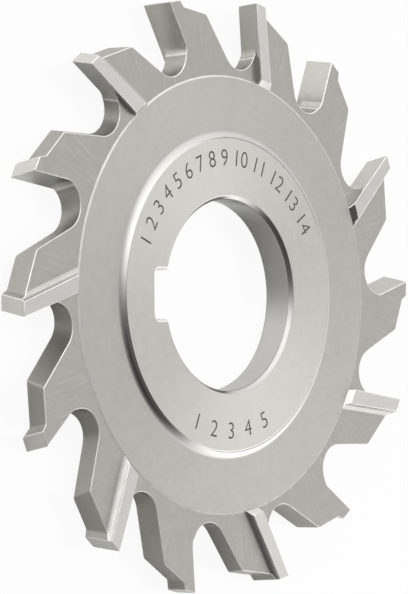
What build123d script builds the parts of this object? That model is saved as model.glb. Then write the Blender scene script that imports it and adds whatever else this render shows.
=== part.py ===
from build123d import *
from math import atan2, cos, degrees, hypot, radians, sin, sqrt, tan
import os

# Side and face cutter with staggered teeth, one solid piece of high speed steel.
# Millimetres and degrees. The bore axis is Z, the middle of the width is Z = 0,
# and +X runs from the axis through the middle of the keyway.

# Overall sizes
cutter_diameter = 100.0
cutter_width = 6.0
tooth_count = 14
first_tooth_angle = 3.6

# Bore and keyway for the arbor
bore_diameter = 32.0
bore_chamfer = 0.6
keyway_width = 8.0
keyway_over_bore = 34.8
keyway_corner_radius = 0.8
keyway_chamfer = 0.4

# Hub, web and rim, turned and ground
hub_diameter = 52.2
hub_fillet_radius = 1.8
web_diameter = 73.2
web_thickness = 4.4
web_edge_slope = 0.3
tooth_thickness = 4.0

# Cutting angles: hook of the rake face, and its lean across the width
rake_angle = 13.5
lean_angle = 12.0

# Rake face, ground with the rounded corner of a dish wheel, and the milled gullet under it
rake_depth = 9.7
rake_wheel_radius = 2.0
rake_ledge = 0.12
gullet_radius = 4.0
root_diameter = 76.2
tooth_back_angle = 20.7

# Top of the tooth: ground primary land, step and milled secondary relief
primary_land = 2.6
primary_relief = 5.7
step_depth = 1.25
step_wall_angle = 25.0
step_radius = 0.8
secondary_relief = 24.5
heel_radius = 0.8

# Raised side land beside each cutting edge, on alternate sides of the cutter
side_land_width = 2.3
side_land_taper = 1.8
side_land_wheel_radius = 1.2
side_land_end_slope = 45.0

# Rough stock outside the finished teeth, how far each cut runs past it, and how far the wheel
# that rounds a land's flank dips under the tooth side
stock = 0.5
overrun = 3.0
wheel_sink = 0.02

# Sizes that follow from the ones above
tip_radius = cutter_diameter / 2
bore_radius = bore_diameter / 2
hub_radius = hub_diameter / 2
web_radius = web_diameter / 2
root_radius = root_diameter / 2
hub_level = cutter_width / 2
web_level = web_thickness / 2
side_level = tooth_thickness / 2
blank_radius = tip_radius + stock
cut_radius = blank_radius + overrun
pitch_angle = 360 / tooth_count
hook = radians(rake_angle)
lean_run = tan(radians(lean_angle))


def from_centre(centre, distance, angle):
    """The point at a distance and an angle from another point."""
    turn = radians(angle)
    return (centre[0] + distance * cos(turn), centre[1] + distance * sin(turn))


def turned(point, angle):
    """A point swung about the bore axis."""
    return from_centre((0, 0), hypot(*point), degrees(atan2(point[1], point[0])) + angle)


def out_to_cut_radius(point, angle):
    """Where a line from the point, at that angle, leaves the stock."""
    turn = radians(angle)
    along = point[0] * cos(turn) + point[1] * sin(turn)
    reach = sqrt(along**2 + cut_radius**2 - point[0] ** 2 - point[1] ** 2) - along
    return from_centre(point, reach, angle)


# The turned blank


def blank():
    """The turned disc: hub, hollow fillet, web and the thinner rim that becomes the teeth."""
    hub_rise = hub_level - web_level
    fillet_run = sqrt(hub_fillet_radius**2 - (hub_fillet_radius - hub_rise) ** 2)
    fillet_foot = hub_radius + fillet_run
    fillet_centre = (fillet_foot, web_level + hub_fillet_radius)
    hub_edge_angle = degrees(atan2(hub_rise - hub_fillet_radius, -fillet_run)) % 360
    fillet_middle = from_centre(fillet_centre, hub_fillet_radius, (hub_edge_angle + 270) / 2)
    upper = Polyline(
        (bore_radius, 0),
        (bore_radius, hub_level - bore_chamfer),
        (bore_radius + bore_chamfer, hub_level),
        (hub_radius, hub_level),
    )
    upper += ThreePointArc((hub_radius, hub_level), fillet_middle, (fillet_foot, web_level))
    upper += Polyline(
        (fillet_foot, web_level),
        (web_radius - web_edge_slope / 2, web_level),
        (web_radius + web_edge_slope / 2, side_level),
        (blank_radius, side_level),
        (blank_radius, 0),
    )
    section = make_face(upper + mirror(upper, about=Plane.XZ))
    return revolve(Plane.XZ * section, axis=Axis.Z)


def keyway():
    """The keyway through the hub, with its mouth chamfered at both faces."""
    depth = keyway_over_bore - bore_radius
    slot = Pos(depth / 2, 0) * RectangleRounded(depth, keyway_width, keyway_corner_radius)
    through = extrude(slot, amount=hub_level, both=True)
    mouth = extrude(Pos(0, 0, hub_level - keyway_chamfer) * slot, amount=keyway_chamfer, taper=-45)
    return through + mouth + mirror(mouth, about=Plane.XY)


# The outlines below lie in one tooth's own frame, at the middle of the width: its cutting edge
# is at (0, tip_radius), Y runs outwards and X runs back from the edge towards the heel.


def gullet_centre():
    """Centre of the round floor, which touches the gullet's front wall and the root circle."""
    across = tip_radius * sin(hook) - gullet_radius - rake_ledge
    along = sqrt((root_radius + gullet_radius) ** 2 - across**2)
    return (across * cos(hook) - along * sin(hook), across * sin(hook) + along * cos(hook))


def gullet_outline():
    """The milled gap in front of a tooth, with the rake face ground back into its front wall."""
    centre = gullet_centre()
    back_angle = 90 + tooth_back_angle + pitch_angle
    front_foot = from_centre(centre, gullet_radius, rake_angle)
    back_foot = from_centre(centre, gullet_radius, back_angle + 90)
    floor_middle = from_centre(centre, gullet_radius, (rake_angle + back_angle - 270) / 2)
    front_top = out_to_cut_radius(front_foot, 90 + rake_angle)
    back_top = out_to_cut_radius(back_foot, back_angle)
    milled = Polyline(back_foot, back_top, front_top, front_foot)
    milled += ThreePointArc(front_foot, floor_middle, back_foot)

    edge = (0, tip_radius)
    edge_top = out_to_cut_radius(edge, 90 + rake_angle)
    wheel_corner = from_centre(edge, rake_depth, rake_angle - 90)
    wheel_rim = from_centre(wheel_corner, gullet_radius, rake_angle + 180)
    ground = make_face(Polyline(edge_top, wheel_corner, wheel_rim, front_top, close=True))
    corner = ground.vertices().sort_by_distance((wheel_corner[0], wheel_corner[1], 0))[0]
    return make_face(milled) + fillet(corner, rake_wheel_radius)


def step_root():
    """Foot of the short step behind the primary land."""
    land_end_y = tip_radius - primary_land * tan(radians(primary_relief))
    step_run = step_depth * tan(radians(step_wall_angle))
    return (primary_land + step_run, land_end_y - step_depth)


def relief_outline():
    """What is ground and milled off the top of a tooth, from the cutting edge past the heel."""
    root = step_root()
    last = turned(gullet_centre(), -pitch_angle)[0]
    fall = tan(radians(secondary_relief))
    outline = Polyline(
        (-overrun, tip_radius + overrun * tan(radians(primary_relief))),
        (primary_land, tip_radius - primary_land * tan(radians(primary_relief))),
        root,
        (last, root[1] - (last - root[0]) * fall),
        (last, cut_radius),
        (-overrun, cut_radius),
        close=True,
    )
    face = make_face(outline)
    return fillet(face.vertices().sort_by_distance((root[0], root[1], 0))[0], step_radius)


def heel_point():
    """Where the secondary relief meets the tooth's back."""
    foot = from_centre(gullet_centre(), gullet_radius, 180 + tooth_back_angle + pitch_angle)
    foot = turned(foot, -pitch_angle)
    root = step_root()
    fall = tan(radians(secondary_relief))
    back = tan(radians(tooth_back_angle))
    height = (root[1] - foot[1] - (foot[0] - root[0]) * fall) / (1 - back * fall)
    return (foot[0] - height * back, foot[1] + height)


def leaning_cut(outline):
    """An outline cut through the whole width, along the leaning cutting edge."""
    start = Pos(lean_run * cutter_width, 0, -cutter_width) * outline
    return Solid.extrude(start.face(), Vector(-lean_run, 0, 1) * (2 * cutter_width))


def side_land():
    """The raised land: flush with the rake face, with a hollow flank and a coned inner end."""
    edge = Vector(0, tip_radius)
    inward = Vector(sin(hook), -cos(hook))
    backward = Vector(cos(hook), sin(hook))
    length = (tip_radius - web_radius + overrun) / cos(hook)
    spread = tan(radians(side_land_taper))
    drop = hub_level - side_level + wheel_sink
    flank_run = sqrt(drop * (2 * side_land_wheel_radius - drop))
    width = side_land_width + length * spread + flank_run

    outer = edge - inward * stock
    inner = edge + inward * length
    outline = make_face(
        Polyline(outer, inner, inner + backward * width, outer + backward * width, close=True)
    )
    block = Solid.extrude(outline.face(), Vector(-lean_run, 0, 1) * hub_level)

    wheel_centre = (flank_run, side_land_wheel_radius - drop)
    wheel_top_angle = degrees(atan2(-wheel_centre[1], -flank_run)) % 360
    wheel_middle = from_centre(wheel_centre, side_land_wheel_radius, (wheel_top_angle + 270) / 2)
    section = ThreePointArc((0, 0), wheel_middle, (flank_run, -drop))
    section += Polyline((flank_run, -drop), (width, -drop), (width, overrun), (0, overrun), (0, 0))
    crest = edge + backward * side_land_width + Vector(-lean_run, 0, 1) * hub_level
    across = Plane(crest, x_dir=backward - inward * spread, z_dir=inward + backward * spread)
    wheel = extrude(across * make_face(section), amount=length + overrun, both=True)

    rim_foot = web_radius - web_edge_slope / 2
    height = hub_level - side_level + overrun
    facing = Cone(
        rim_foot,
        rim_foot + height * tan(radians(side_land_end_slope)),
        height,
        align=(Align.CENTER, Align.CENTER, Align.MIN),
    )
    return block - wheel - Pos(0, 0, side_level) * facing


def staggered(shape):
    """One copy for each tooth, every second one turned over so that the lean alternates."""
    over = mirror(shape, about=Plane.XY)
    copies = []
    for number in range(tooth_count):
        angle = first_tooth_angle + number * pitch_angle
        piece = shape if number % 2 == 0 else over
        copies.append(Rot(0, 0, angle - 90) * piece)
    return copies


def heel_edges(body):
    """The edge across the width at each tooth's heel."""
    edges = body.edges().filter_by(GeomType.LINE)
    found = []
    for number in range(tooth_count):
        heel = turned(heel_point(), first_tooth_angle + number * pitch_angle - 90)
        found.append(edges.sort_by_distance((heel[0], heel[1], 0))[0])
    return found


def cutter():
    """The whole cutter: lands set on the blank, then gullets, reliefs and keyway cut from it."""
    body = blank() + staggered(side_land())
    body -= staggered(leaning_cut(gullet_outline()))
    body -= staggered(leaning_cut(relief_outline()))
    body -= keyway()
    return fillet(heel_edges(body), heel_radius)


part = cutter()
os.makedirs("parts", exist_ok=True)
export_step(part, "parts/cutter.step")
print("cutter", len(part.solids()), "solid", round(part.volume, 1), "mm3", part.bounding_box().size)
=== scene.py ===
import bmesh
import bpy
from collections import Counter
from math import copysign, cos, hypot, inf, pi, radians, sin, sqrt
from mathutils import Matrix, Vector
from mathutils.bvhtree import BVHTree
from mathutils.geometry import barycentric_transform, delaunay_2d_cdt


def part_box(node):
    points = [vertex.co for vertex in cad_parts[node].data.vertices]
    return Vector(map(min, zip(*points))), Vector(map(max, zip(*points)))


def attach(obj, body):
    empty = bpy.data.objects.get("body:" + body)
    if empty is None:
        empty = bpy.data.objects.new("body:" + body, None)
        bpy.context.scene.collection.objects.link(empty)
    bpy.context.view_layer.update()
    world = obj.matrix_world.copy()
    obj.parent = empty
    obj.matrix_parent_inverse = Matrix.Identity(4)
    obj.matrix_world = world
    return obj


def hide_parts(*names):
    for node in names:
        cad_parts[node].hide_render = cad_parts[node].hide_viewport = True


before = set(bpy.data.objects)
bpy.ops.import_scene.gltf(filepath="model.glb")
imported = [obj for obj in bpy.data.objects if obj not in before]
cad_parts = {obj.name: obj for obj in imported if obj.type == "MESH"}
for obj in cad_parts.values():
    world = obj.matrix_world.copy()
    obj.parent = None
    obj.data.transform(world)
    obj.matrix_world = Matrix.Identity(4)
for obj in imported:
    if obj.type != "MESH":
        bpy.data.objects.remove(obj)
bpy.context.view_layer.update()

# Camera
# The photograph looks down on the cutter from one side, about 50 degrees off the bore axis and
# 54 cm away, and it is turned so that the cutter stands upright in the picture.
camera_right = Vector((-0.6507, 0.0080, 0.7593))
camera_up = Vector((0.0055, -0.99987, 0.0152))
camera_back = Vector((0.7593, 0.01405, 0.6506))
camera_place = Vector((0.41298, 0.00790, 0.35090))
sensor_height = 24.0
focal_length = 130.69
nearest_seen = 0.01
farthest_seen = 20.0

camera_data = bpy.data.cameras.new("camera")
camera_data.sensor_fit = "VERTICAL"
camera_data.sensor_height = sensor_height
camera_data.lens = focal_length
camera_data.clip_start = nearest_seen
camera_data.clip_end = farthest_seen
camera = bpy.data.objects.new("camera", camera_data)
camera_turn = Matrix((camera_right, camera_up, camera_back)).transposed().to_4x4()
camera.matrix_world = Matrix.Translation(camera_place) @ camera_turn
bpy.context.scene.collection.objects.link(camera)
bpy.context.scene.camera = camera

# The cutter's body
# One piece of high speed steel, turned, milled, hardened and ground all over. The grinder leaves
# every outer edge broken by a tenth of a millimetre or so. The body is the solid with those edges
# broken, and it keeps the solid's exact normals on its faces.
edge_break = 0.00014
least_room = edge_break / 6
too_close = edge_break * 1.2
hub_radius = 0.0261
hub_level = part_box("cutter")[1].z
web_level = 0.0022
fillet_radius = 0.0018
fillet_centre_height = web_level + fillet_radius
fillet_foot = hub_radius + sqrt(fillet_radius**2 - (fillet_centre_height - hub_level) ** 2)
web_step_inside = 0.0363
web_step_outside = 0.03685
near_tips = 0.049
sharp_edge = radians(8)
flat_enough = radians(1.5)
quite_flat = radians(0.1)
one_face = radians(20)
steep = 0.5
just_inside = 0.00001
same_place = 0.0000001

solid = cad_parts["cutter"].data
solid_places = [vertex.co.copy() for vertex in solid.vertices]
solid_faces = [tuple(face.vertices) for face in solid.polygons]
solid_normals = [
    [solid.corner_normals[loop].vector.copy() for loop in face.loop_indices] for face in solid.polygons
]
solid_tree = BVHTree.FromPolygons(solid_places, solid_faces)


def true_normal(place):
    """The solid's own normal at the place on its skin that lies nearest."""
    spot, _, number, _ = solid_tree.find_nearest(place)
    corners = [solid_places[vertex] for vertex in solid_faces[number]]
    return barycentric_transform(spot, *corners, *solid_normals[number]).normalized()


def has_room(spot):
    """True where the skin of the solid runs on as far as the spot, so that a break fits there."""
    return solid_tree.find_nearest(spot)[3] < least_room


def is_broken_edge(edge):
    """True where two faces of the solid meet in an outward corner, apart from the web's step."""
    middle = (edge.verts[0].co + edge.verts[1].co) / 2
    on_web_step = web_step_inside < hypot(*middle.xy) < web_step_outside
    if on_web_step or not edge.seam:
        return False
    one, other = edge.link_loops
    into_one, into_other = edge.calc_tangent(one), edge.calc_tangent(other)
    here = true_normal(middle + into_one * just_inside)
    there = true_normal(middle + into_other * just_inside)
    if here.angle(there) < sharp_edge or there.dot(into_one) > 0:
        return False
    return has_room(middle + into_one * edge_break) and has_room(middle + into_other * edge_break)


def runs_close(edge, broken_edge):
    """True where an edge inside a curved face lies so close to a broken one that no break fits."""
    foot = broken_edge.verts[0].co
    along = (broken_edge.verts[1].co - foot).normalized()
    return all((corner.co - foot).cross(along).length < too_close for corner in edge.verts)


form = bmesh.new()
form.from_mesh(solid)
for edge in form.edges:
    edge.seam = edge.is_boundary
bmesh.ops.remove_doubles(form, verts=form.verts, dist=same_place)


def join_facets(corners, limit):
    """Joins the facets about these corners into one face where they lie flat to one another."""
    inside = set(corners)
    edges = [edge for edge in form.edges if inside.issuperset(edge.verts)]
    bmesh.ops.dissolve_limit(
        form, angle_limit=limit, verts=list(corners), edges=edges, delimit={"SEAM"}
    )


join_facets([vertex for vertex in form.verts if hypot(*vertex.co.xy) > web_step_inside], flat_enough)
join_facets(form.verts, quite_flat)
to_break = [edge for edge in form.edges if is_broken_edge(edge)]
close_edges = dict.fromkeys(
    near
    for edge in to_break
    for face in edge.link_faces
    for near in face.edges
    if not near.seam and runs_close(near, edge)
)
bmesh.ops.dissolve_edges(form, edges=list(close_edges), use_verts=False)
broken = bmesh.ops.bevel(
    form,
    geom=to_break,
    offset=edge_break,
    offset_type="OFFSET",
    segments=2,
    profile=0.5,
    affect="EDGES",
    clamp_overlap=False,
)
rounds = set(broken["faces"])


def runs_down_front(face):
    """True on the wall that runs from a cutting edge down the rake face to its side land's end."""
    reach = [hypot(*corner.co.xy) for corner in face.verts]
    return abs(face.normal.z) < steep and min(reach) < web_step_outside and max(reach) > near_tips


def part_front(face):
    """Parts the front of the side land from the rake face, in line with the rake face's foot."""
    foot = next(corner for corner in face.loops if not corner.is_convex)
    beside = (foot.link_loop_prev.vert.co, foot.link_loop_next.vert.co)
    foot_end = min(beside, key=lambda place: place.z * foot.vert.co.z)
    bmesh.ops.bisect_plane(
        form,
        geom=[face, *face.edges],
        dist=just_inside / 10,
        plane_co=foot_end,
        plane_no=(foot.vert.co - foot_end).cross(face.normal),
    )


for face in [face for face in form.faces if runs_down_front(face)]:
    part_front(face)


def is_in_fillet(face):
    """True on the hollow fillet between the hub and the web, above and below."""
    reach = [hypot(*corner.co.xy) for corner in face.verts]
    return min(reach) > hub_radius - edge_break and max(reach) < fillet_foot + just_inside


def hollow_normal(place):
    """The normal of the fillet, from the centre of its round section."""
    middle = place.xy.normalized() * fillet_foot
    return (Vector((*middle, copysign(fillet_centre_height, place.z))) - place).normalized()


def corner_normal(corner):
    """The solid's normal on its own faces, and a turn from one face to the next on a round."""
    if corner.face not in rounds:
        if is_in_fillet(corner.face):
            return hollow_normal(corner.vert.co)
        exact = true_normal(corner.vert.co + corner.calc_tangent() * just_inside)
        return exact if exact.angle(corner.face.normal) < one_face else corner.face.normal.copy()
    beside = [near for near in corner.vert.link_loops if near.face not in rounds]
    if beside:
        return sum((corner_normal(near) for near in beside), Vector()).normalized()
    return sum((face.normal for face in corner.vert.link_faces), Vector()).normalized()


body_normals = [corner_normal(corner) for face in form.faces for corner in face.loops]

rim_start = 0.037
mouth_start = 0.0156
mouth_end = 0.0198
mouth_half_width = 0.0046
least_mouth_slope = 0.3
most_mouth_slope = 0.95


def is_pale_edge(face):
    """The broken edges of the teeth and the keyway's mouth; the hub's other edges stay polished."""
    centre = face.calc_center_median()
    out = hypot(*centre.xy)
    in_mouth = centre.x > mouth_start and abs(centre.y) < mouth_half_width and out < mouth_end
    if face in rounds:
        return out > rim_start or in_mouth
    return in_mouth and least_mouth_slope < abs(face.normal.z) < most_mouth_slope


# Slot 0 is the pale edge finish, which carries a painted highlight along the broken edges.
for face in form.faces:
    face.smooth = True
    face.material_index = 0 if is_pale_edge(face) else 1

steel_body = bpy.data.objects.new("cutter_body", bpy.data.meshes.new("cutter_body"))
bpy.context.scene.collection.objects.link(steel_body)
form.to_mesh(steel_body.data)
form.free()
steel_body.data.normals_split_custom_set(body_normals)
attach(steel_body, "root")
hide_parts("cutter")

# Broken edges
# The sharp edges of the teeth and of the keyway's mouth are touched by hand with a stone or a
# nylon brush, which leaves them duller than the ground steel beside them. Their pale colour is partly
# that brushed wear and partly a painted highlight for the glints along the edges.
cloud_scale = 620.0
cloud_detail = 5.0
cloud_fineness = 0.62
stroke_scale = 1.0
stroke_detail = 3.0
stroke_fineness = 0.55
stroke_share = 0.45
tone_range = (0.3, 0.7)
sheen_range = (0.25, 0.75)
sheen_spread = 0.15
mark_height = 0.00002
across_rings = 0.25
first_tooth = radians(3.6)
pitch = 2 * pi / 14
hook = radians(13.5)
along_density = (2600.0, 2600.0, 90.0)
stroke_density = (3800.0, 130.0, 120.0)
ring_density = (5200.0, 9.0, 400.0)
bold_strokes = (0.55, 0.65)
scratch_patch_scale = 160.0
scratch_patches = (0.50, 0.60)
scratch_brightness = 1.4


def feed(tree, source, socket):
    """Gives a socket what comes out of another node, or else a plain number or colour."""
    if isinstance(source, bpy.types.NodeSocket):
        tree.links.new(source, socket)
    else:
        socket.default_value = source


def maths(tree, operation, first, second=None):
    """One sum on a value that runs through the nodes, with a number or another such value."""
    step = tree.nodes.new("ShaderNodeMath")
    step.operation = operation
    feed(tree, first, step.inputs[0])
    if second is not None:
        feed(tree, second, step.inputs[1])
    return step.outputs["Value"]


def vector_maths(tree, operation, first, second=None):
    """One sum on places or directions. A product is another place, and the rest give a number."""
    step = tree.nodes.new("ShaderNodeVectorMath")
    step.operation = operation
    feed(tree, first, step.inputs[0])
    if second is not None:
        feed(tree, second, step.inputs[1])
    return step.outputs["Vector" if operation == "MULTIPLY" else "Value"]


def noise(tree, place, scale, detail=2.0, fineness=0.5):
    """Soft random clouds, a number of them to each metre."""
    clouds = tree.nodes.new("ShaderNodeTexNoise")
    clouds.inputs["Scale"].default_value = scale
    clouds.inputs["Detail"].default_value = detail
    clouds.inputs["Roughness"].default_value = fineness
    tree.links.new(place, clouds.inputs["Vector"])
    return clouds.outputs["Fac"]


def spread(tree, value, start, end, low=0.0, high=1.0, soft=False):
    """Runs from low to high while a value goes from start to end, and stays there outside them."""
    step = tree.nodes.new("ShaderNodeMapRange")
    if soft:
        step.interpolation_type = "SMOOTHSTEP"
    step.inputs["From Min"].default_value = start
    step.inputs["From Max"].default_value = end
    step.inputs["To Min"].default_value = low
    step.inputs["To Max"].default_value = high
    tree.links.new(value, step.inputs["Value"])
    return step.outputs["Result"]


def blend(tree, share, first, second):
    """Goes from one number to another by a share."""
    step = tree.nodes.new("ShaderNodeMix")
    step.data_type = "FLOAT"
    feed(tree, share, step.inputs["Factor"])
    feed(tree, first, step.inputs[2])
    feed(tree, second, step.inputs[3])
    return step.outputs[0]


def blend_colours(tree, share, first, second):
    """Goes from one colour to another by a share."""
    step = tree.nodes.new("ShaderNodeMix")
    step.data_type = "RGBA"
    feed(tree, share, step.inputs["Factor"])
    feed(tree, first, step.inputs[6])
    feed(tree, second, step.inputs[7])
    return step.outputs[2]


def shade(colour, brightness=1.0):
    """A colour made darker or lighter, as the nodes take it."""
    return (*(channel * brightness for channel in colour), 1.0)


def on_object(tree):
    """The place on the cutter itself, in metres."""
    return tree.nodes.new("ShaderNodeTexCoord").outputs["Object"]


def distance_out(tree, place):
    """How far a spot on the surface lies from the bore's axis."""
    flat = vector_maths(tree, "MULTIPLY", place, (1.0, 1.0, 0.0))
    return vector_maths(tree, "LENGTH", flat)


def mark_run(tree, place, marks):
    """Stretches the surface into long strokes: rings about the bore, strokes beside the rake
    faces, or lines along the bore. A density counts marks to a metre, or to a radian."""
    split = tree.nodes.new("ShaderNodeSeparateXYZ")
    tree.links.new(place, split.inputs["Vector"])
    out = distance_out(tree, place)
    around = maths(tree, "ARCTAN2", split.outputs["Y"], split.outputs["X"])
    if marks == "along":
        sources = (split.outputs["X"], split.outputs["Y"], split.outputs["Z"])
        density = along_density
    elif marks == "strokes":
        turned = maths(tree, "SUBTRACT", around, first_tooth - hook)
        local = maths(tree, "FLOORED_MODULO", turned, pitch)
        across = maths(tree, "MULTIPLY", out, maths(tree, "SINE", local))
        lengthways = maths(tree, "MULTIPLY", out, maths(tree, "COSINE", local))
        sources = (across, lengthways, split.outputs["Z"])
        density = stroke_density
    else:
        sources = (out, around, split.outputs["Z"])
        density = ring_density
    run = tree.nodes.new("ShaderNodeCombineXYZ")
    for source, marks_each, axis in zip(sources, density, "XYZ"):
        tree.links.new(maths(tree, "MULTIPLY", source, marks_each), run.inputs[axis])
    return run.outputs["Vector"]


def scratch_mask(tree, place, stroke):
    """1 on the boldest strokes, in patches a few millimetres across, and 0 elsewhere."""
    bold = spread(tree, stroke, *bold_strokes)
    patchy = spread(tree, noise(tree, place, scratch_patch_scale), *scratch_patches)
    return maths(tree, "MULTIPLY", bold, patchy)


def steel(name, colour, roughness, marks=None, depth=0.2, mottle=0.06, brushed=0.0, scratched=0.0):
    """Bare tool steel, cloudy on a millimetre scale, with fine marks left by its last operation.
    Where it is brushed in rings, its shine spreads across them."""
    material = bpy.data.materials.new(name)
    material.use_nodes = True
    tree = material.node_tree
    surface = tree.nodes["Principled BSDF"]
    surface.inputs["Metallic"].default_value = 1.0
    place = on_object(tree)

    pattern = noise(tree, place, cloud_scale, cloud_detail, cloud_fineness)
    if marks:
        run = mark_run(tree, place, marks)
        stroke = noise(tree, run, stroke_scale, stroke_detail, stroke_fineness)
        pattern = blend(tree, stroke_share, pattern, stroke)

    tone = spread(tree, pattern, *tone_range)
    skin = blend_colours(tree, tone, shade(colour, 1.0 - mottle), shade(colour, 1.0 + mottle))
    if scratched:
        mask = maths(tree, "MULTIPLY", scratch_mask(tree, place, stroke), scratched)
        skin = blend_colours(tree, mask, skin, shade(colour, scratch_brightness))
    tree.links.new(skin, surface.inputs["Base Color"])

    dullest = roughness * (1.0 + sheen_spread)
    shiniest = roughness * (1.0 - sheen_spread)
    sheen = spread(tree, pattern, *sheen_range, dullest, shiniest)
    tree.links.new(sheen, surface.inputs["Roughness"])

    relief = tree.nodes.new("ShaderNodeBump")
    relief.inputs["Strength"].default_value = depth
    relief.inputs["Distance"].default_value = mark_height
    tree.links.new(pattern, relief.inputs["Height"])
    tree.links.new(relief.outputs["Normal"], surface.inputs["Normal"])

    if brushed:
        ring = tree.nodes.new("ShaderNodeTangent")
        ring.direction_type = "RADIAL"
        ring.axis = "Z"
        tree.links.new(ring.outputs["Tangent"], surface.inputs["Tangent"])
        surface.inputs["Anisotropic"].default_value = brushed
        surface.inputs["Anisotropic Rotation"].default_value = across_rings
    return material


# The edge colour is much paler than the ground steel: partly brushed wear, partly a painted highlight
# for the edges' glints.
edge_wear_and_glint_steel = steel("edge_brushed_and_painted_glint", colour=(0.86, 0.855, 0.83), roughness=0.5)
steel_body.data.materials.append(edge_wear_and_glint_steel)

# Gullets and tooth backs
# They are milled before hardening and left a little duller than the ground faces, with the
# cutter marks running across the width. Every face that no section below finishes is one of them.
gullet_steel = steel(
    "gullet_milled", colour=(0.44, 0.435, 0.40), roughness=0.36, marks="along", depth=0.35
)
steel_body.data.materials.append(gullet_steel)

# Hub faces
# The hub is ground flat on both sides in fine rings, where the arbor's collars clamp it, and it
# keeps the brightest broad face of the cutter.
margin = 0.00005


def face_measures(face):
    """Where a face lies and which way it looks: level is its share along the bore's axis,
    outward its share away from the bore, and ahead its share the way the cutting edges point."""
    corners = [steel_body.data.vertices[vertex].co for vertex in face.vertices]
    centre = sum(corners, Vector()) / len(corners)
    radial = centre.xy.normalized()
    return {
        "out": sum(hypot(*corner.xy) for corner in corners) / len(corners),
        "height": abs(centre.z),
        "level": abs(face.normal.z),
        "outward": radial.dot(face.normal.xy),
        "ahead": radial.cross(face.normal.xy),
    }


measured_faces = [(face, face_measures(face)) for face in steel_body.data.polygons]


def finish_faces(material, **limits):
    """Gives that finish to the faces inside all these limits, apart from the pale edges."""
    steel_body.data.materials.append(material)
    slot_number = len(steel_body.data.materials) - 1
    for face, measures in measured_faces:
        inside = all(low <= measures[name] < high for name, (low, high) in limits.items())
        if inside and face.material_index:
            face.material_index = slot_number


hub_steel = steel(
    "hub_ground",
    colour=(0.605, 0.597, 0.56),
    roughness=0.30,
    marks="rings",
    depth=0.15,
    mottle=0.05,
    brushed=0.65,
)
finish_faces(hub_steel, out=(0.0, hub_radius + margin), height=(hub_level - margin, inf))

# Web
# The thin disc between the hub and the teeth is turned on both sides, then blasted lightly to an
# even satin grey.
web_colour = (0.51, 0.494, 0.468)
web_roughness = 0.38
lies_flat = 0.99
web_steel = steel(
    "web_satin",
    colour=web_colour,
    roughness=web_roughness,
    marks="rings",
    depth=0.15,
    mottle=0.05,
    brushed=0.3,
)
finish_faces(
    web_steel,
    out=(fillet_foot, web_step_outside),
    height=(web_level - margin, inf),
    level=(lies_flat, inf),
)

# Fillet
# The hollow between hub and web is turned, then polished with the wheel's round corner. Its
# polish runs out into the satin of the web.
polish_end = 0.0270
fillet_steel = steel(
    "fillet_polished",
    colour=(0.61, 0.60, 0.575),
    roughness=0.16,
    marks="rings",
    depth=0.12,
    mottle=0.04,
)
finish_faces(
    fillet_steel, out=(hub_radius - edge_break, fillet_foot), height=(web_level - margin, inf)
)


def run_out(material, start, end, colour, roughness):
    """Fades a finish into another one between two distances from the bore's axis."""
    tree = material.node_tree
    skin = tree.nodes["Principled BSDF"].inputs["Base Color"]
    sheen = tree.nodes["Principled BSDF"].inputs["Roughness"]
    share = spread(tree, distance_out(tree, on_object(tree)), start, end, soft=True)
    tree.links.new(blend_colours(tree, share, skin.links[0].from_socket, shade(colour)), skin)
    tree.links.new(blend(tree, share, sheen.links[0].from_socket, roughness), sheen)


run_out(fillet_steel, polish_end, fillet_foot, web_colour, web_roughness)

# Web edge
# The web ends in a low step down to the thinner teeth. Its step face is painted pale and dull, a
# painted highlight for the bright line that runs along the step.
side_level = 0.0020
web_edge_highlight_steel = steel("web_edge_painted_highlight", colour=(0.82, 0.81, 0.78), roughness=0.72, marks="rings")
finish_faces(
    web_edge_highlight_steel,
    out=(web_step_inside, web_step_outside),
    height=(side_level - margin, web_level + margin),
    level=(0.0, lies_flat),
)

# Tooth sides
# They are ground thinner than the web, so that only the side lands touch the work. The wheel's
# strokes run along the rake faces, and the boldest of them catch the light.
side_steel = steel(
    "tooth_side_ground",
    colour=(0.44, 0.428, 0.397),
    roughness=0.42,
    marks="strokes",
    depth=0.2,
    mottle=0.05,
    scratched=0.28,
)
finish_faces(
    side_steel,
    out=(web_step_outside, inf),
    height=(side_level - margin, side_level + margin),
    level=(lies_flat, inf),
)

# Side lands
# The raised lands cut the walls of the groove, so their flat tops are ground last and finest, level
# with the hub.
land_steel = steel(
    "side_land_ground",
    colour=(0.61, 0.598, 0.57),
    roughness=0.28,
    marks="strokes",
    depth=0.12,
    mottle=0.04,
    brushed=0.4,
)
finish_faces(
    land_steel,
    out=(web_step_outside, inf),
    height=(hub_level - margin, inf),
    level=(lies_flat, inf),
)

# Land flanks
# The hollow flank behind each side land comes from the round corner of the wheel that ground the
# tooth side down.
least_flank_slope = 0.1
most_flank_slope = 0.995
flank_steel = steel(
    "flank_ground",
    colour=(0.54, 0.53, 0.505),
    roughness=0.34,
    marks="strokes",
    depth=0.12,
    mottle=0.05,
)
finish_faces(
    flank_steel,
    out=(web_step_outside, inf),
    height=(side_level - just_inside, inf),
    level=(least_flank_slope, most_flank_slope),
)

# Land ends
# The inner end of each side land slopes down to the web. It is faced off on a cone by the same
# wheel's edge, and looks up and in towards the bore.
land_end_steel = steel(
    "side_land_end_faced",
    colour=(0.60, 0.59, 0.565),
    roughness=0.16,
    marks="strokes",
    depth=0.12,
    mottle=0.05,
)
finish_faces(
    land_end_steel,
    out=(web_step_inside, web_step_outside + hub_level - side_level),
    height=(side_level + margin, inf),
    outward=(-inf, -steep),
)

# Rake faces
# The face in front of each cutting edge is ground flat and smooth, and so is the round corner at
# its foot that the same wheel leaves.
rake_foot = 0.0407
looks_ahead = 0.3
rake_steel = steel(
    "rake_ground",
    colour=(0.57, 0.565, 0.53),
    roughness=0.24,
    marks="along",
    depth=0.15,
    mottle=0.05,
)
finish_faces(rake_steel, out=(rake_foot, inf), level=(0.0, steep), ahead=(looks_ahead, inf))

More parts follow.
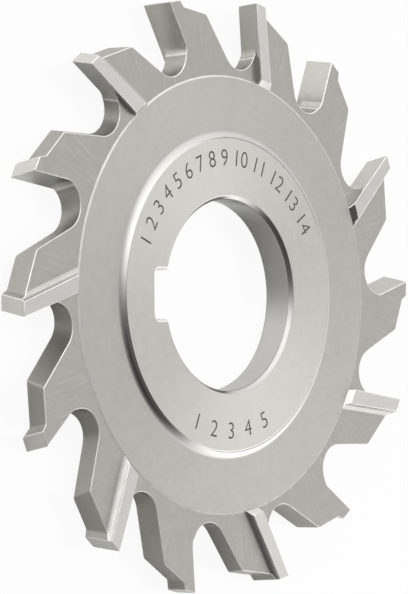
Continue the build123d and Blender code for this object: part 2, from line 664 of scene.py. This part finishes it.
# Land fronts
# Below the rake face, the front wall of each side land is honed to a bright finish, because its
# crest is the side cutting edge.
land_front_end = 0.042
looks_straight_ahead = 0.8
honed_steel = steel(
    "side_land_front_honed",
    colour=(0.58, 0.57, 0.545),
    roughness=0.10,
    marks="strokes",
    depth=0.08,
    mottle=0.04,
)
finish_faces(
    honed_steel,
    out=(web_step_inside, land_front_end),
    height=(side_level + margin, inf),
    level=(0.0, steep),
    ahead=(looks_straight_ahead, inf),
)

# Cutting lands
# The narrow land behind each cutting edge is ground on the round and looks almost straight out from
# the bore. Its strokes scatter the light and leave it the palest face of a tooth.
looks_straight_out = 0.97
land_top_steel = steel(
    "cutting_land_ground",
    colour=(0.74, 0.735, 0.70),
    roughness=0.52,
    marks="along",
    depth=0.15,
    mottle=0.05,
)
finish_faces(land_top_steel, out=(near_tips, inf), outward=(looks_straight_out, inf))

# Bore and keyway
# The bore is ground to slide on the arbor, and the keyway is broached through one side of it for
# the arbor's key.
bore_steel = steel(
    "bore_ground",
    colour=(0.54, 0.535, 0.515),
    roughness=0.18,
    marks="along",
    depth=0.1,
    mottle=0.04,
)
finish_faces(bore_steel, out=(0.0, mouth_end), level=(0.0, most_mouth_slope))

# Tooth numbers on the hub
# Thin dark figures etched into the ground face: the teeth are numbered in an arc above the bore,
# and a short row below it has a figure to tick at each sharpening.
figure_height = 0.0029
size_to_height = 1.38
font_size = figure_height * size_to_height
stroke_thinning = 0.00003
figure_radius = 0.0228
figure_gap = 0.75
tooth_figures = [str(number) for number in range(1, 15)]
sharpening_figures = [str(number) for number in range(1, 6)]
foot_to_bore = -pi / 2
foot_to_rim = pi / 2
etch_depth = 0.00002
etch_grain = 5200.0
etch_roughness = 0.55
deep_etch = (0.05, 0.045, 0.035)
faint_etch = (0.16, 0.15, 0.13)

etched_mark = bpy.data.materials.new("etched_mark")
etched_mark.use_nodes = True
etch_tree = etched_mark.node_tree
etch_surface = etch_tree.nodes["Principled BSDF"]
etch_surface.inputs["Roughness"].default_value = etch_roughness
etch_tone = noise(etch_tree, on_object(etch_tree), etch_grain)
etch_skin = blend_colours(etch_tree, etch_tone, shade(deep_etch), shade(faint_etch))
etch_tree.links.new(etch_skin, etch_surface.inputs["Base Color"])

hub_number = steel_body.data.materials.find(hub_steel.name)
marked_form = bmesh.new()
marked_form.from_mesh(steel_body.data)
hub_faces = [
    face
    for face in marked_form.faces
    if face.material_index == hub_number
    and min(corner.co.z for corner in face.verts) > hub_level - same_place
]
hub_corners = list(dict.fromkeys(corner for face in hub_faces for corner in face.verts))
corner_numbers = {corner: number for number, corner in enumerate(hub_corners)}
hub_outlines = [[corner_numbers[corner] for corner in face.verts] for face in hub_faces]
figure_corners, figure_faces = [], []


def etch(text, angle, foot_turn):
    """Draws one figure on the hub face, with its foot towards the bore or away from it."""
    curve = bpy.data.curves.new("figure", "FONT")
    curve.body = text
    curve.size = font_size
    curve.align_x = "CENTER"
    curve.align_y = "CENTER"
    curve.offset = -stroke_thinning
    figure = bpy.data.objects.new("figure", curve)
    bpy.context.scene.collection.objects.link(figure)
    drawn = bpy.data.meshes.new_from_object(
        figure.evaluated_get(bpy.context.evaluated_depsgraph_get())
    )
    bpy.data.objects.remove(figure)
    centre = Vector((figure_radius * cos(angle), figure_radius * sin(angle)))
    turn = Matrix.Rotation(angle + foot_turn, 2)
    first = len(figure_corners)
    figure_corners.extend(centre + turn @ corner.co.xy for corner in drawn.vertices)
    figure_faces.extend([first + corner for corner in face.vertices] for face in drawn.polygons)
    bpy.data.meshes.remove(drawn)


def etch_row(texts, first_angle, last_angle, foot_turn):
    """A row of figures along an arc, with the same gap between them however wide they are."""
    digits = sum(len(text) for text in texts) + figure_gap * (len(texts) - 1)
    done = 0.0
    for text in texts:
        share = (done + len(text) / 2) / digits
        etch(text, radians(first_angle + (last_angle - first_angle) * share), foot_turn)
        done += len(text) + figure_gap


etch_row(tooth_figures, first_angle=-20, last_angle=-152, foot_turn=foot_to_bore)
etch_row(sharpening_figures, first_angle=64, last_angle=115, foot_turn=foot_to_rim)

# The hub face is cut along the figures' outlines, and the acid has eaten the faces inside them two
# hundredths of a millimetre deep.
triangles_inside = 1
same_point = 0.000000001
upwards = Vector((0.0, 0.0, 1.0))
edge_uses = Counter(
    tuple(sorted(edge)) for face in figure_faces for edge in zip(face, face[1:] + face[:1])
)
figure_edges = [
    (len(hub_corners) + one, len(hub_corners) + other)
    for (one, other), uses in edge_uses.items()
    if uses == 1
]
figure_tree = BVHTree.FromPolygons([(*place, 0.0) for place in figure_corners], figure_faces)
hub_places = [corner.co.xy for corner in hub_corners]
places, _, rings, place_sources, _, ring_sources = delaunay_2d_cdt(
    hub_places + figure_corners, figure_edges, hub_outlines, triangles_inside, same_point, True
)
normals = [corner.vector.copy() for corner in steel_body.data.corner_normals]
kept_normals = {
    face: [normals[corner] for corner in polygon.loop_indices]
    for polygon, face in zip(steel_body.data.polygons, marked_form.faces)
    if face not in hub_faces
}
bmesh.ops.delete(marked_form, geom=hub_faces, context="FACES_ONLY")
spots = []
for place, sources in zip(places, place_sources):
    known = [source for source in sources if source < len(hub_corners)]
    spots.append(hub_corners[known[0]] if known else marked_form.verts.new((*place, hub_level)))
steel_body.data.materials.append(etched_mark)
etched_number = len(steel_body.data.materials) - 1
etched_faces = []
for ring, sources in zip(rings, ring_sources):
    if not sources:
        continue
    face = marked_form.faces.new([spots[number] for number in ring])
    face.smooth = True
    face.material_index = hub_number
    middle = sum((places[number] for number in ring), Vector((0.0, 0.0))) / len(ring)
    if figure_tree.ray_cast((*middle, 1.0), -upwards)[0]:
        face.material_index = etched_number
        etched_faces.append(face)
loose_edges = [edge for edge in marked_form.edges if edge.is_wire]
bmesh.ops.delete(marked_form, geom=loose_edges, context="EDGES")
etched_edges = list(dict.fromkeys(edge for face in etched_faces for edge in face.edges))
sunk = bmesh.ops.extrude_face_region(marked_form, geom=etched_faces + etched_edges)["geom"]
sunk_corners = [part for part in sunk if isinstance(part, bmesh.types.BMVert)]
bmesh.ops.translate(marked_form, verts=sunk_corners, vec=-upwards * etch_depth)
marked_form.normal_update()

body_normals = []
for face in marked_form.faces:
    heights = [corner.co.z for corner in face.verts]
    if face in kept_normals:
        body_normals.extend(kept_normals[face])
    elif max(heights) - min(heights) > etch_depth / 2:
        face.material_index = etched_number
        body_normals.extend([face.normal.copy()] * len(heights))
    else:
        body_normals.extend([upwards] * len(heights))
marked_form.to_mesh(steel_body.data)
marked_form.free()
steel_body.data.normals_split_custom_set(body_normals)

# Floor
# A plain white board that the cutter lies on. The camera sees it as white, with the cutter's own
# soft shadow, and the steel sees it as polished white board.
floor_radius = 3.0
floor_corners = 96
board_colour = (0.86, 0.86, 0.85)
board_gloss_colour = (0.9, 0.9, 0.9)
board_gloss_roughness = 0.15
board_gloss_share = 0.45
white_seen_by_camera = 0.93
white_seen_in_steel = 0.15
pure_white = (1.0, 1.0, 1.0)

floor = bpy.data.objects.new("floor", bpy.data.meshes.new("floor"))
board = bmesh.new()
bmesh.ops.create_circle(board, cap_ends=True, segments=floor_corners, radius=floor_radius)
bmesh.ops.translate(board, verts=board.verts, vec=(0, 0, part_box("cutter")[0].z))
board.to_mesh(floor.data)
board.free()
bpy.context.scene.collection.objects.link(floor)


def mix_shaders(tree, share, first, second):
    """Lays one shader over another by a share."""
    step = tree.nodes.new("ShaderNodeMixShader")
    feed(tree, share, step.inputs["Fac"])
    tree.links.new(first.outputs[0], step.inputs[1])
    tree.links.new(second.outputs[0], step.inputs[2])
    return step


white_board = bpy.data.materials.new("white_board")
white_board.use_nodes = True
board_tree = white_board.node_tree
board_tree.nodes.clear()
board_matt = board_tree.nodes.new("ShaderNodeBsdfDiffuse")
board_matt.inputs["Color"].default_value = shade(board_colour)
board_gloss = board_tree.nodes.new("ShaderNodeBsdfGlossy")
board_gloss.inputs["Color"].default_value = shade(board_gloss_colour)
board_gloss.inputs["Roughness"].default_value = board_gloss_roughness
board_skin = mix_shaders(board_tree, board_gloss_share, board_matt, board_gloss)
board_white = board_tree.nodes.new("ShaderNodeEmission")
board_white.inputs["Color"].default_value = shade(pure_white)
board_white.inputs["Strength"].default_value = 1.0
rays = board_tree.nodes.new("ShaderNodeLightPath").outputs
in_steel = maths(board_tree, "ADD", rays["Is Glossy Ray"], rays["Is Transmission Ray"])
camera_share = maths(board_tree, "MULTIPLY", rays["Is Camera Ray"], white_seen_by_camera)
steel_share = maths(board_tree, "MULTIPLY", in_steel, white_seen_in_steel)
white_share = maths(board_tree, "ADD", camera_share, steel_share)
board_mix = mix_shaders(board_tree, white_share, board_skin, board_white)
board_out = board_tree.nodes.new("ShaderNodeOutputMaterial")
board_tree.links.new(board_mix.outputs["Shader"], board_out.inputs["Surface"])
floor.data.materials.append(white_board)

# Studio light
# A pale room with two broad soft panels, one at the top of the picture and one behind at the
# lower right, and two dark patches opposite them that give the steel its contrast.
room_level = 0.93
room = bpy.data.worlds.new("studio")
bpy.context.scene.world = room
room.use_nodes = True
room_tree = room.node_tree
room_tree.nodes.clear()
room_direction = room_tree.nodes.new("ShaderNodeTexCoord").outputs["Generated"]


def patch(azimuth, elevation, core, fade):
    """1 inside a round patch of the room's wall, falling softly to 0 over its fade, in degrees."""
    flat = cos(radians(elevation))
    centre = Vector(
        (flat * cos(radians(azimuth)), flat * sin(radians(azimuth)), sin(radians(elevation)))
    )
    nearness = vector_maths(room_tree, "DOT_PRODUCT", room_direction, centre)
    angle = maths(room_tree, "ARCCOSINE", nearness)
    return spread(room_tree, angle, radians(core + fade), radians(core), soft=True)


def brighten(level, mask, amount):
    """Adds a lit panel to the room's level."""
    return maths(room_tree, "ADD", level, maths(room_tree, "MULTIPLY", mask, amount))


def darken(level, mask, share):
    """Takes that share of the light away inside a dark patch."""
    taken = maths(room_tree, "MULTIPLY", mask, share)
    return maths(room_tree, "SUBTRACT", level, maths(room_tree, "MULTIPLY", taken, level))


level = brighten(room_level, patch(azimuth=-48, elevation=15, core=0, fade=125), amount=0.9)
level = brighten(level, patch(azimuth=139, elevation=17.5, core=20, fade=25), amount=0.84)
level = darken(level, patch(azimuth=54, elevation=23, core=35, fade=45), share=0.85)
level = darken(level, patch(azimuth=100, elevation=68, core=10, fade=44), share=0.75)

room_light = room_tree.nodes.new("ShaderNodeBackground")
room_light.inputs["Color"].default_value = shade(pure_white)
room_tree.links.new(level, room_light.inputs["Strength"])
room_white = room_tree.nodes.new("ShaderNodeBackground")
room_white.inputs["Color"].default_value = shade(pure_white)
seen_directly = room_tree.nodes.new("ShaderNodeLightPath").outputs["Is Camera Ray"]
room_mix = mix_shaders(room_tree, seen_directly, room_light, room_white)
room_out = room_tree.nodes.new("ShaderNodeOutputWorld")
room_tree.links.new(room_mix.outputs["Shader"], room_out.inputs["Surface"])

bpy.context.scene.view_settings.view_transform = "Standard"
